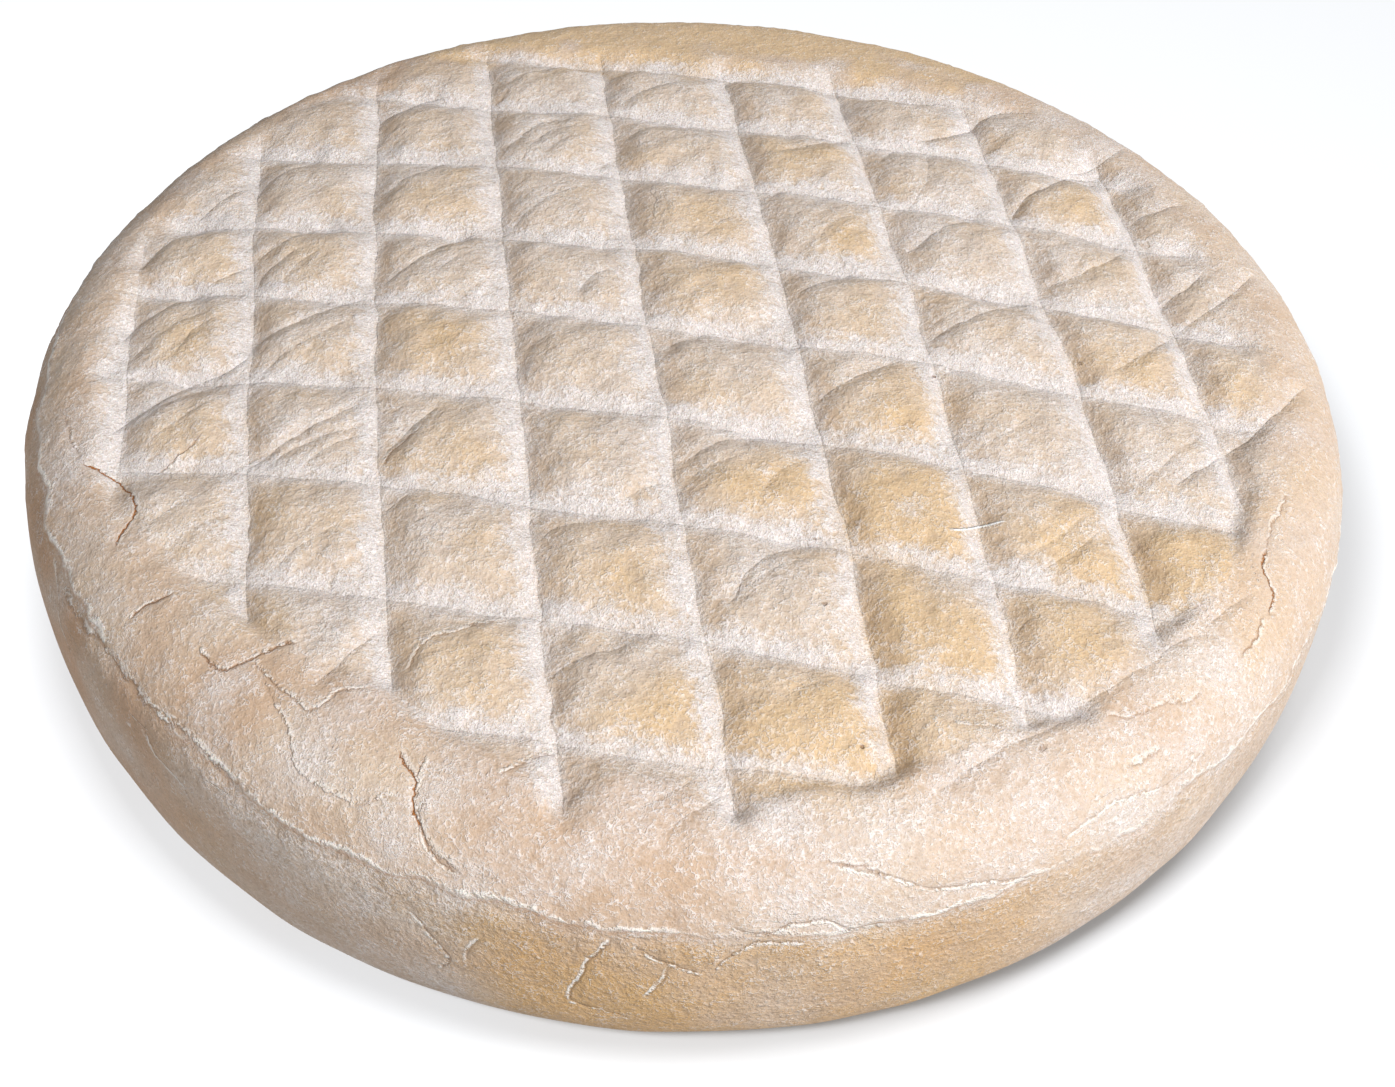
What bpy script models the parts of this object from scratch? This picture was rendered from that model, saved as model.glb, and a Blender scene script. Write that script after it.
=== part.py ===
"""A whole farmhouse cheese wheel, pressed in a cloth-lined mould whose grid left its top quilted.

Metres, +Z up. The wheel lies on its flat foot at z = 0, and the origin is under its middle.
-Y is the side that faces a viewer, +X is that viewer's right.
"""
import math

import bmesh
import bpy
import numpy as np

# Driving sizes of the wheel
RADIUS = 0.105
RIM_HEIGHT = 0.0437        # top of the shoulder, before the dome is added
DOME_RISE = 0.0090         # how far the middle of the top stands above the rim
WIDEST_AT = 0.0259         # height of the widest line of the side
SHOULDER_REACH = 0.0189    # how far in the shoulder starts to fall
FOOT_REACH = 0.0087        # how far in the side runs under before it rests
SHOULDER_POWER = 3.1       # 2 is an ellipse, more is squarer
FOOT_POWER = 2.04

# The low lip where the smooth shoulder folds over the side
LIP_HEIGHT = 0.0335
LIP_STEP = 0.0006          # how much narrower the side is below the lip
LIP_FALL = 0.0007          # height that the step takes
LIP_INSET = 0.0004         # how far the step's middle lies inside the widest line
LIP_CLEAR = 0.0010         # no other point of the section is this close to the lip's height

# Unevenness of a wheel turned by hand while it ripens
SWAY = 0.0004
SWAY_WAVES = ((2, 0.7, 0.6), (4, 2.1, 0.4))   # waves in a turn, where they start, and their share
SWAY_INWARD = 0.4                             # keeps the waves inside the radius
RIM_WAVES, RIM_START = 2, -0.9

# The pressed grid: where each groove crosses the wheel's own axes
LENGTHWISE_AT = (-0.0885, -0.0695, -0.0495, -0.028, -0.007, 0.0155, 0.036, 0.058, 0.078)
CROSSWISE_AT = (0.074, 0.055, 0.035, 0.014, -0.0055, -0.0265, -0.047, -0.0675, -0.086)
LENGTHWISE_LEAN = -0.152   # metres to the right for each metre away from the viewer
CROSSWISE_LEAN = -0.142
PRESSED_RADIUS = 0.089
PRESSED_MIDDLE = (0.0, -0.007)
CHORD_REACH = 1.3          # a chord is looked for this far out, in pressed radii
CHORD_POINTS = 400

# Half of a groove's section: out from its middle, and up from the surface
GROOVE_SECTION = ((0.0, -0.0020), (0.0024, -0.0009), (0.0068, 0.0002))
CUTTER_TOP = 0.0030
GROOVE_END_LIFT = 0.0026
GROOVE_STEP = 0.012

TURN_STEPS = 80
MERGE_WITHIN = 0.0001      # closes the turned profile at its axis
WELD_WITHIN = 0.00001      # closes a cutter at its caps

RIND_COLOUR = (0.62, 0.52, 0.41, 1.0)
RIND_ROUGHNESS = 0.85


def superellipse(reach, drop, power, steps):
    """Quarter of a superellipse: pairs of how far out and how far up, from its top to its widest."""
    turns = np.linspace(math.pi / 2, 0.0, steps)
    out = reach * np.clip(np.cos(turns), 0.0, 1.0) ** (2.0 / power)
    up = drop * np.sin(turns) ** (2.0 / power)
    return out, up


def top_height(radius):
    """Height of the top at a distance from the axis: a low dome, falling as a superellipse at the rim."""
    share = np.clip((radius - (RADIUS - SHOULDER_REACH)) / SHOULDER_REACH, 0.0, 0.9999)
    fall = (1.0 - share ** SHOULDER_POWER) ** (1.0 / SHOULDER_POWER)
    dome = DOME_RISE * (1.0 - (radius / RADIUS) ** 2) * fall ** 2
    return WIDEST_AT + (RIM_HEIGHT - WIDEST_AT) * fall + dome


def wheel_profile():
    """Half section of the wheel from the middle of the top, over the shoulder and side, to the foot."""
    flat_start = RADIUS - SHOULDER_REACH
    radii = np.linspace(0.0, flat_start, 6)[:-1]
    points = [(r, top_height(r)) for r in radii]
    out, up = superellipse(SHOULDER_REACH, 1.0, SHOULDER_POWER, 13)
    for radius, share in zip(flat_start + out, up):
        dome = DOME_RISE * (1.0 - (radius / RADIUS) ** 2) * share ** 2
        points.append((radius, WIDEST_AT + (RIM_HEIGHT - WIDEST_AT) * share + dome))
    above = [p for p in points if p[1] > LIP_HEIGHT + LIP_CLEAR]
    below = [p for p in points if p[1] < LIP_HEIGHT - LIP_CLEAR]
    lip_radius = RADIUS - LIP_INSET
    lip = [(lip_radius + LIP_STEP / 2, LIP_HEIGHT + LIP_FALL / 2),
           (lip_radius - LIP_STEP / 2, LIP_HEIGHT - LIP_FALL / 2)]
    out, up = superellipse(FOOT_REACH, WIDEST_AT, FOOT_POWER, 9)
    foot = [(RADIUS - FOOT_REACH + o, WIDEST_AT - u) for o, u in zip(out[::-1], up[::-1])][1:]
    return above + lip + below + foot + [(0.0, 0.0)]


def turned_wheel():
    """The profile turned round the axis, as a plain mesh object."""
    profile = wheel_profile()
    mesh = bpy.data.meshes.new("wheel_profile")
    verts = [(r, 0.0, z) for r, z in profile]
    mesh.from_pydata(verts, [(i, i + 1) for i in range(len(verts) - 1)], [])
    half = bpy.data.objects.new("wheel_profile", mesh)
    bpy.context.scene.collection.objects.link(half)
    screw = half.modifiers.new("turn", "SCREW")
    screw.steps = screw.render_steps = TURN_STEPS
    screw.use_merge_vertices = True
    screw.merge_threshold = MERGE_WITHIN
    bpy.context.view_layer.update()
    evaluated = half.evaluated_get(bpy.context.evaluated_depsgraph_get())
    body = bpy.data.meshes.new_from_object(evaluated)
    bpy.data.objects.remove(half)
    return bpy.data.objects.new("wheel", body)


def make_uneven(wheel):
    """Moves the side in and out and the shoulder up and down by slow even waves.

    The foot stays flat and the middle stays put.
    """
    mesh = wheel.data
    count = len(mesh.vertices)
    place = np.empty(count * 3, dtype=np.float32)
    mesh.vertices.foreach_get("co", place)
    place = place.reshape(-1, 3).astype(float)
    turn = np.arctan2(place[:, 1], place[:, 0])
    radius = np.hypot(place[:, 0], place[:, 1])
    wave = sum(share * np.sin(count * turn + start) for count, start, share in SWAY_WAVES) - SWAY_INWARD
    side = np.clip(radius / RADIUS, 0.0, 1.0) ** 4
    place[:, :2] *= (1.0 + SWAY * wave * side / RADIUS)[:, None]
    height = np.clip(place[:, 2] / RIM_HEIGHT, 0.0, 1.0)
    place[:, 2] += SWAY * np.sin(RIM_WAVES * turn + RIM_START) * side * height ** 2
    mesh.vertices.foreach_set("co", place.astype(np.float32).ravel())
    mesh.update()


def groove_points(across, lean, lengthwise):
    """Points along one groove: a straight chord of the pressed circle, laid on the top's dome."""
    middle_x, middle_y = PRESSED_MIDDLE
    travel = np.linspace(-CHORD_REACH, CHORD_REACH, CHORD_POINTS) * PRESSED_RADIUS
    if lengthwise:
        x, y = across + lean * travel, travel
    else:
        x, y = travel, across + lean * travel
    inside = np.hypot(x - middle_x, y - middle_y) < PRESSED_RADIUS
    x, y = x[inside], y[inside]
    length = math.hypot(x[-1] - x[0], y[-1] - y[0])
    picks = np.linspace(0, len(x) - 1, max(4, round(length / GROOVE_STEP))).round().astype(int)
    x, y = x[picks], y[picks]
    z = top_height(np.hypot(x, y))
    z[0] += GROOVE_END_LIFT
    z[-1] += GROOVE_END_LIFT
    return list(zip(x, y, z))


def section_curve(collection):
    """The closed outline that is carried along every groove, a wide V with easy flanks."""
    left = [(-out, up) for out, up in GROOVE_SECTION[:0:-1]]
    wide = GROOVE_SECTION[-1][0]
    outline = left + list(GROOVE_SECTION) + [(wide, CUTTER_TOP), (-wide, CUTTER_TOP)]
    curve = bpy.data.curves.new("groove_section", "CURVE")
    curve.dimensions = "2D"
    spline = curve.splines.new("POLY")
    spline.points.add(len(outline) - 1)
    for point, (across, up) in zip(spline.points, outline):
        point.co = (across, up, 0.0, 1.0)
    spline.use_cyclic_u = True
    section = bpy.data.objects.new("groove_section", curve)
    collection.objects.link(section)
    return section


def groove_cutter(name, points, section, collection):
    """One groove's cutter: the section carried along its points, with welded caps."""
    curve = bpy.data.curves.new(name, "CURVE")
    curve.dimensions = "3D"
    curve.twist_mode = "Z_UP"
    curve.bevel_mode = "OBJECT"
    curve.bevel_object = section
    curve.use_fill_caps = True
    spline = curve.splines.new("POLY")
    spline.points.add(len(points) - 1)
    for point, place in zip(spline.points, points):
        point.co = (*place, 1.0)
    route = bpy.data.objects.new(name, curve)
    bpy.context.scene.collection.objects.link(route)
    bpy.context.view_layer.update()
    evaluated = route.evaluated_get(bpy.context.evaluated_depsgraph_get())
    mesh = bpy.data.meshes.new_from_object(evaluated)
    bpy.data.objects.remove(route)
    welded = bmesh.new()
    welded.from_mesh(mesh)
    bmesh.ops.remove_doubles(welded, verts=welded.verts, dist=WELD_WITHIN)
    bmesh.ops.recalc_face_normals(welded, faces=welded.faces)
    welded.to_mesh(mesh)
    welded.free()
    cutter = bpy.data.objects.new(name, mesh)
    cutter.hide_render = True
    cutter.display_type = "WIRE"
    collection.objects.link(cutter)
    return cutter


def groove_cutters(collection):
    """Both sets of parallel grooves of the pressed grid."""
    section = section_curve(collection)
    for number, across in enumerate(LENGTHWISE_AT, 1):
        points = groove_points(across, LENGTHWISE_LEAN, True)
        groove_cutter(f"lengthwise_groove_{number}", points, section, collection)
    for number, across in enumerate(CROSSWISE_AT, 1):
        points = groove_points(across, CROSSWISE_LEAN, False)
        groove_cutter(f"crosswise_groove_{number}", points, section, collection)
    bpy.data.objects.remove(section)


def rind_material():
    """Dry natural rind, ochre under a pale bloom."""
    material = bpy.data.materials.new("rind")
    material.use_nodes = True
    shader = material.node_tree.nodes["Principled BSDF"]
    shader.inputs["Base Color"].default_value = RIND_COLOUR
    shader.inputs["Roughness"].default_value = RIND_ROUGHNESS
    shader.inputs["Metallic"].default_value = 0.0
    material.diffuse_color = RIND_COLOUR
    return material


def main():
    for thing in list(bpy.data.objects):
        bpy.data.objects.remove(thing, do_unlink=True)
    parts = bpy.data.collections.new("cheese_wheel")
    cutters = bpy.data.collections.new("cutters")
    bpy.context.scene.collection.children.link(parts)
    bpy.context.scene.collection.children.link(cutters)

    wheel = turned_wheel()
    parts.objects.link(wheel)
    make_uneven(wheel)
    wheel.data.materials.clear()
    wheel.data.materials.append(rind_material())
    groove_cutters(cutters)

    press = wheel.modifiers.new("pressed_grid", "BOOLEAN")
    press.operation = "DIFFERENCE"
    press.operand_type = "COLLECTION"
    press.collection = cutters
    press.solver = "EXACT"
    wheel.data.shade_smooth()
    wheel.data.set_sharp_from_angle(angle=math.radians(40))


main()
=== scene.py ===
"""Looks of a whole farmhouse cheese wheel with a natural rind.

The top is quilted by the grid it was pressed on: two sets of grooves with a pillow in every cell, cloth
folds across the pillows' corners, a white bloom in the grooves and ochre rind on the crowns.
Sizes are millimetres in the wheel's own frame, and are turned into metres where a mesh is made.
"""
import math

import bpy
import numpy as np
from mathutils import Matrix, Vector


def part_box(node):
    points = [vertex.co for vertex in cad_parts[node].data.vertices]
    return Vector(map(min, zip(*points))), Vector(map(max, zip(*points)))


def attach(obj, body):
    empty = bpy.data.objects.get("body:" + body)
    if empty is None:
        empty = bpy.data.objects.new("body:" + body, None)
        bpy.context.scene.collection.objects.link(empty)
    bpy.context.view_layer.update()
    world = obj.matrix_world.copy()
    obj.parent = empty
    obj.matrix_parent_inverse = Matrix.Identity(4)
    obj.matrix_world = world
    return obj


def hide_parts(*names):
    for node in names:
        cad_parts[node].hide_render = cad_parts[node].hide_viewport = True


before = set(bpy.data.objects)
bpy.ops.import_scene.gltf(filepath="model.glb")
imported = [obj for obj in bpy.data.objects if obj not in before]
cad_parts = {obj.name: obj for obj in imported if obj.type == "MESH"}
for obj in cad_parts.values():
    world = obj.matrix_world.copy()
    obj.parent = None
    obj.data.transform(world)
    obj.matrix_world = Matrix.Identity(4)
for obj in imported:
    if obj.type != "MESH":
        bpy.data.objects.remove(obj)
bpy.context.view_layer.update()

MM = 0.001
LOW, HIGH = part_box("wheel")

# The wheel's section, as its solid has it
RADIUS = (HIGH.x - LOW.x + HIGH.y - LOW.y) / 4 / MM
DOME_RISE = 9.0
RIM_HEIGHT = HIGH.z / MM - DOME_RISE
WIDEST_AT = 25.9
SHOULDER_REACH = 18.9
FOOT_REACH = 8.7
SHOULDER_POWER = 3.1
FOOT_POWER = 2.04

# The photograph's frame and the camera that took it
PHOTO_WIDTH = 1395
FOCAL_PIXELS = 2040.5
CAMERA_ELEVATION = math.radians(44.856)
CAMERA_ROLL = math.radians(2.044)
CAMERA_DISTANCE = 317.3
CAMERA_AIM = (2.58, -27.8, 26.25)
SENSOR_WIDTH = 36.0

# Each groove of the grid: where it crosses the other axis, its lean, and its bow (per mm)
LENGTHWISE = (
    (-87.9, -0.143, 0.0), (-69.0, -0.158, 0.00012), (-49.4, -0.146, 0.00018),
    (-28.4, -0.148, 0.00008), (-7.5, -0.159, 0.00011), (15.1, -0.160, 0.00003),
    (35.2, -0.155, -0.0001), (57.1, -0.148, -0.00009), (77.0, -0.133, -0.0003),
)
CROSSWISE = (
    (69.9, -0.13, 0.0), (51.3, -0.15, 0.0004), (31.1, -0.124, 0.0002),
    (10.5, -0.128, 0.0), (-8.8, -0.136, 0.0), (-29.4, -0.153, -0.00016),
    (-49.5, -0.155, -0.00012), (-69.8, -0.160, 0.0), (-88.1, -0.113, 0.0),
)
PITCH = 20.4
GROOVE_DEPTH = 2.2
LENGTHWISE_FLANK = 7.0
CROSSWISE_FLANK = 8.2
CROSSWISE_SHARE = 0.93     # how deep the crosswise grooves are beside the lengthwise ones
GROOVE_SUNK = 1.2          # how deep a groove's darkest line is seen, in groove depths
FLANK_ROUND_OFF = 0.3      # how rounded a groove is at its bottom

# Height of the lip round the side, against the turn from the near side (degrees, to the right)
LIP_HEIGHTS = (
    (-180, 38), (-130, 40), (-90, 41), (-60, 41), (-46, 39.4), (-36, 37.5), (-29, 35.6), (-12, 35),
    (-5, 33.6), (4, 33.2), (12, 32), (20, 31.3), (30, 31.9), (60, 33), (110, 35), (180, 38),
)

# How far out the grid reaches, against the turn from the near side (degrees, to the right)
PRESSED_REACH = (
    (-180, 80), (-172, 83), (-160, 89), (-145, 96), (-120, 97), (-90, 96), (-60, 93), (-40, 89), (-25, 88),
    (-14, 92), (-9, 97), (-4, 93), (1, 93), (5, 97), (10, 94), (30, 94), (60, 93), (120, 93), (140, 90),
    (155, 84), (170, 79), (180, 80),
)

# Cloth folds pressed into the pillows: depth, then the points that the fold runs through
FOLDS = (
    (1.3, (-56, 50.5), (-54.5, 54), (-52, 57), (-48.5, 59.8), (-44, 60.3)),
    (1.0, (-73, 28), (-72.8, 32), (-71, 35.5), (-68.5, 37.8), (-64, 39)),
    (1.0, (-53, 25), (-52, 28), (-50, 31), (-47.5, 34), (-44.5, 36), (-41, 37.3)),
    (1.1, (-82.5, 22), (-81, 26), (-78.5, 29.5), (-75.5, 32)),
    (0.5, (-80, 21), (-78.5, 25.5), (-75.5, 28.5)),
    (0.3, (-54.5, 30.5), (-57, 33.5), (-61.5, 36.5), (-65, 38)),
    (0.8, (-35.5, 65), (-33, 68.5), (-30, 71), (-26, 72.5), (-21, 72)),
    (1.0, (-14, 56.5), (-12.2, 60.5), (-10.2, 63), (-7.3, 65.5), (-3.5, 67.3)),
    (1.1, (4, 64), (4.7, 66.5), (6.5, 68.2), (9.5, 68.8)),
    (1.0, (-32.5, 41), (-31.7, 44.5), (-29.7, 48), (-27.3, 50.7), (-24.7, 52.2), (-21, 52.5)),
    (0.8, (-29.2, 41), (-27.8, 44.7), (-25.5, 48), (-22.7, 49.6), (-19, 49.6)),
    (0.5, (-27, 38), (-25.5, 41.5), (-23, 45), (-19.5, 46.7)),
    (0.6, (-20, 35), (-16.5, 36.2), (-14, 38.5)),
    (0.8, (-12.5, 44.5), (-11, 47.8), (-8.5, 49.8), (-5, 50.5)),
    (1.0, (13.2, 42.2), (15.5, 43.9), (19, 45.8), (23, 47.3), (26.5, 47.5)),
    (0.8, (31, 41), (32, 43.5), (33.8, 45.5), (36.2, 46.4)),
    (0.8, (-29.5, 16), (-28.3, 20), (-26, 24), (-23, 27.3), (-19, 29.6), (-15, 30.6)),
    (0.6, (1, 14.5), (3, 18.4), (5.3, 21.2), (8.5, 23)),
    (0.6, (20.5, 15), (21.5, 20), (24, 23), (28, 24.8)),
    (1.4, (38, 49), (41.5, 51.2), (45, 53.3), (48.3, 56), (50.3, 59.8), (53, 62.8), (56.5, 64.6),
     (61, 64.8)),
    (1.0, (64, 44.5), (68, 47), (71.5, 50.3), (74, 54), (76.5, 58)),
    (1.4, (52.8, 26), (54.2, 30), (55.7, 33.8), (58, 37), (61, 40), (64, 42.5), (67.5, 43.6), (71, 42.8)),
    (1.0, (73, 28.5), (75.5, 32.7), (78.5, 35.3), (81, 37.6), (85, 40.3)),
    (0.5, (74, 37), (76, 40), (79, 43)),
    (0.7, (35, 26), (37.5, 32), (39.2, 37), (39.9, 42), (39.5, 46.5)),
    (1.0, (34.5, 14), (38, 19), (41.2, 22.8), (45, 25), (50, 25.3)),
    (1.1, (-89, 9), (-88.5, 13.5), (-86.5, 17), (-84, 18.8), (-80, 19.3)),
    (0.9, (-77, 3), (-75.2, 6), (-73, 8), (-70, 9.5)),
    (1.0, (-70, 9.5), (-69, 12.5), (-67, 15), (-64.5, 17), (-61, 18.2), (-56, 18)),
    (1.1, (-68.8, 1), (-68.3, 6), (-66.5, 10), (-63.5, 13.3)),
    (0.6, (-65.2, 3), (-64.2, 7), (-62, 10.8), (-59.7, 12.8)),
    (1.4, (-48.5, 1), (-47, 4.5), (-44.5, 8), (-41.5, 11.3), (-38, 13.8), (-34, 15)),
    (1.1, (-40, 5), (-39, 7.5), (-36.5, 9.8)),
    (1.2, (-88, -9.5), (-86.5, -5), (-84, -2), (-80.5, 0.6), (-75.5, 1.3)),
    (0.8, (-85.5, -14.5), (-85, -12), (-83.6, -9.5), (-82.5, -6)),
    (0.6, (-83, -8.5), (-81.5, -5.5), (-78.5, -3), (-75, -1.8)),
    (0.8, (-79.2, -13.5), (-78.2, -9.7), (-76.4, -6), (-73.3, -4)),
    (1.3, (-67.5, -15), (-65.5, -10.8), (-62, -7.3), (-58, -4.6), (-54, -2.8), (-49.5, -1.7)),
    (0.7, (-64.5, -19), (-62.5, -15), (-59, -11), (-55, -7.7), (-52, -5.5)),
    (0.35, (-56, -14.5), (-53, -17), (-49, -19.5)),
    (1.4, (-85, -31), (-82.5, -27), (-79.5, -23.5), (-76, -20.8), (-72, -18.9), (-69, -17), (-66, -14)),
    (0.8, (-82, -29), (-80, -25.5), (-77, -22.5), (-73, -20.8), (-68, -20.3)),
    (0.7, (-79.5, -36), (-78, -31), (-75, -27), (-71.5, -24.3), (-68, -22.8)),
    (1.0, (-62.5, -40), (-60, -35.5), (-57.5, -32.5), (-54, -29.5), (-50, -26.5), (-47, -25.5)),
    (0.8, (-60.5, -39.5), (-58, -35.7), (-54, -32.6), (-50, -30.7), (-46.5, -30.3)),
    (0.8, (-54.7, -39), (-52.2, -35.3), (-49, -32.8), (-45.7, -32)),
    (1.2, (-43.2, -39), (-42.2, -35), (-40.7, -32), (-38.5, -29), (-35.5, -26)),
    (0.5, (-39.5, -19), (-37.5, -16.5), (-35, -14.5)),
    (0.9, (-18, -0.5), (-16.6, 3), (-14.3, 5.5), (-11, 6.3)),
    (0.8, (-25, -15.5), (-23.3, -12.5), (-21, -10)),
    (1.0, (-4.3, -15), (-2.6, -12.3), (0, -10.7), (4, -9.8), (9, -9.9), (13, -11.5), (16.5, -14.5)),
    (0.9, (16.2, -0.5), (17.5, 2), (20, 4.5), (23.5, 6.5), (27.5, 7.2)),
    (1.0, (19.8, -24.5), (21, -21.5), (24, -18.5), (27, -16), (30, -14.5), (33.5, -13.5)),
    (0.5, (-14.5, -24.5), (-12.3, -21), (-9.5, -18.5), (-6, -17.5)),
    (0.5, (-33, -41), (-29, -37), (-26, -34)),
    (1.0, (-0.2, -38.7), (1.6, -36), (4.2, -33.8), (8, -32.4), (12, -32.1), (16, -32.9), (19.5, -34.7)),
    (0.6, (0.5, -42), (2.4, -39), (5.2, -36.6), (9, -35.2)),
    (0.8, (11.5, -43), (13, -39.5), (15.5, -36.8), (19, -35.5)),
    (0.8, (-8.8, -46), (-6.8, -43.8), (-4.8, -42.3), (-1.5, -41.3)),
    (0.4, (9, -7.8), (11.5, -6.3), (14, -2.8)),
    (1.0, (56, 7.3), (58.5, 10.3), (62, 12.6), (65, 15.6), (68.5, 18.6), (72, 21.2)),
    (0.5, (61, 13.7), (63, 17), (65, 21)),
    (1.1, (76.7, -0.3), (80, 4.5), (84, 9), (88, 13.5), (91, 17.8), (93.5, 22)),
    (1.2, (75, 5), (77.5, 9.8), (81, 14.3), (84.5, 19)),
    (1.0, (36.3, -9.5), (38.2, -6.7), (41.5, -3), (45.5, 0), (49, 2.1), (53.5, 3.3)),
    (0.6, (36.3, -5.5), (39, -2), (42, 1), (45.5, 3.3)),
    (0.8, (64.5, -11.5), (68, -8), (71.5, -4.8), (74.5, -2), (77, 0.5)),
    (1.5, (80, -27.5), (83, -24.5), (86.5, -20.3), (90, -16), (94, -10.7), (97.5, -6)),
    (1.4, (71.5, -35), (75, -31.2), (78.5, -28.5), (81, -26.8)),
    (0.7, (65.5, -36), (69, -31.7), (72, -28.5), (75, -24.7), (78.5, -22)),
    (0.6, (41, -34), (42.6, -31.3), (45.3, -28.8), (48.5, -26), (51.5, -22.5)),
    (0.5, (-75.5, -48.5), (-72, -44.8), (-67, -41.8)),
    (0.4, (-72, -54.5), (-70.5, -51), (-67.5, -48.5), (-63.5, -46)),
    (0.6, (-55.5, -57.7), (-53.5, -54.5), (-51.2, -52), (-47.3, -48.8)),
    (1.0, (-48, -78), (-45, -74.8), (-42, -71.3), (-39, -68.3)),
    (0.7, (-42, -49), (-40.3, -46), (-37.3, -43.8)),
    (1.0, (-19.6, -54.5), (-18.1, -51.8), (-15, -50), (-10, -49.3), (-4, -49.4)),
    (1.0, (6.5, -64), (8.4, -60.5), (9.8, -57), (12.3, -54.4), (16, -53), (21, -52.8)),
    (0.7, (9.7, -61), (11.3, -57.8), (14.3, -55.7), (18.5, -54.4)),
    (1.0, (-17.3, -78), (-15.2, -75.2), (-12.2, -72.8), (-9, -71.3), (-4.5, -70.5)),
    (0.8, (-1, -98), (2.3, -95.5), (6, -93.7), (9, -92.5)),
    (0.7, (-5.5, -95.2), (-2, -93.9), (1, -92), (4, -90.3)),
    (0.5, (21, -74.7), (17, -75.8), (14, -78)),
    (0.9, (50, -54.3), (53.2, -51), (56.7, -47.8), (60.5, -44.3)),
    (0.7, (58.5, -41.5), (55, -45), (51, -48.8), (47, -52.5)),
    (0.9, (72.3, -61), (75.3, -57.6), (78.6, -54.4), (81.8, -51.7)),
    (0.9, (54, -76.5), (57, -73.3), (60.3, -70.5), (64, -67.7), (67, -64.8), (71, -62), (76, -60.5)),
    (1.0, (33, -91), (36.5, -88.5), (40.3, -85.3), (44, -82.6), (48.3, -80.3), (52, -78), (57, -77)),
    (0.6, (45.5, -67), (47, -63.7), (49.5, -61.3)),
)

FOLD_DEPTH = 0.66
FOLD_RIGHT = 1.5           # how far the rind takes to come down to a fold
FOLD_LEFT = 4.5            # and to rise again beyond it
FOLD_SUNK = 1.35           # how deep a fold's darkest line is seen, in fold depths
FOLD_BOTTOM = 0.2          # and the width of its bottom, which adds to that
FOLD_SPREAD = 8.0          # nothing of a fold is left this far from it
OUT_OF_REACH = 1000.0      # keeps the drawn lines off parts that they aren't on

# Cracks: strength, how orange, then the points that the crack runs through
CRACKS = (
    (1.0, 1.0, (-88.5, -34), (-85, -36.5), (-81.5, -39.7), (-78.7, -42.7), (-78, -44.7), (-78.5, -47),
     (-79.6, -51)),
    (1.0, 0.7, (-75.5, -63.5), (-73, -62), (-70.5, -61.1), (-69, -60)),
    (0.9, 0.7, (-64, -69.5), (-62, -72), (-59.5, -73.3), (-57, -72.2), (-53.5, -70.2), (-50.5, -69.8)),
    (0.6, 0.6, (-56.3, -72), (-54, -75), (-51.5, -77), (-49, -79), (-47.5, -80.3), (-45.5, -79),
     (-43.3, -77.5), (-40.3, -77.4)),
    (0.35, 0.5, (-55, -74), (-53, -78), (-51, -81), (-49.6, -84), (-48.9, -87.3), (-46.8, -89.2), (-43, -91),
     (-39.5, -92.4), (-34.5, -92)),
    (0.9, 1.0, (-34.9, -86.1), (-33.4, -88.9), (-32.3, -90.5), (-32.6, -92), (-32, -94.5), (-31.3, -96)),
    (0.35, 0.8, (-32.4, -93), (-31.6, -95), (-30.5, -97), (-28, -99), (-26, -99.7)),
    (0.5, 0.9, (-31.3, -87), (-31.9, -89.4), (-32.6, -91.3)),
    (0.7, 0.5, (-87.9, -53.6), (-84.6, -58.9), (-80.1, -63.9), (-76.6, -68.1), (-73.1, -72.4),
     (-69.9, -75.6), (-66.9, -78.1), (-62.9, -81.4), (-59.9, -84.1), (-56.9, -86.6)),
    (0.45, 0.8, (-34.9, -75), (-34.6, -72), (-33.5, -69.8), (-31.5, -68.5), (-28, -67.6), (-24, -66.2)),
    (0.5, 0.6, (-22, -90), (-19.5, -88.8), (-17, -87.8), (-14.5, -87.4)),
    (0.3, 0.8, (-7.2, 31.5), (-7.6, 28.8), (-6.5, 27), (-6.9, 24), (-6.2, 21)),
    (0.5, 0.9, (-71, -30), (-71.8, -32), (-73, -33.7), (-74.5, -36), (-76.5, -38.5)),
    (0.4, 0.7, (-94, -23.5), (-92.5, -26), (-91, -29.5), (-89.3, -32.5)),
    (0.4, 0.9, (84.3, -43.5), (86, -38.5), (88, -35), (89.7, -31)),
    (1.0, 0.9, (84.5, -43), (83.5, -46), (83.8, -48.5), (84.6, -51), (83.5, -54)),
    (0.6, 0.9, (82.6, -54.5), (81.5, -57), (80, -59.5), (78.3, -61.8)),
    (0.35, 0.9, (57, -75.7), (60, -75.5), (63, -74.2), (66, -72.2), (68, -71.5), (70.2, -70.6),
     (72.3, -68.4)),
    (0.4, 0.8, (60, -81.5), (63, -79.6), (66, -77)),
    (0.4, 0.8, (20, -98.8), (24, -98.5), (28.5, -98.7)),
    (0.6, 0.8, (-43.2, -38), (-42.2, -35), (-40.7, -32), (-38.7, -29.3)),
    (0.3, 0.5, (36, -79.7), (40, -79.2), (44, -79.6)),
)

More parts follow.
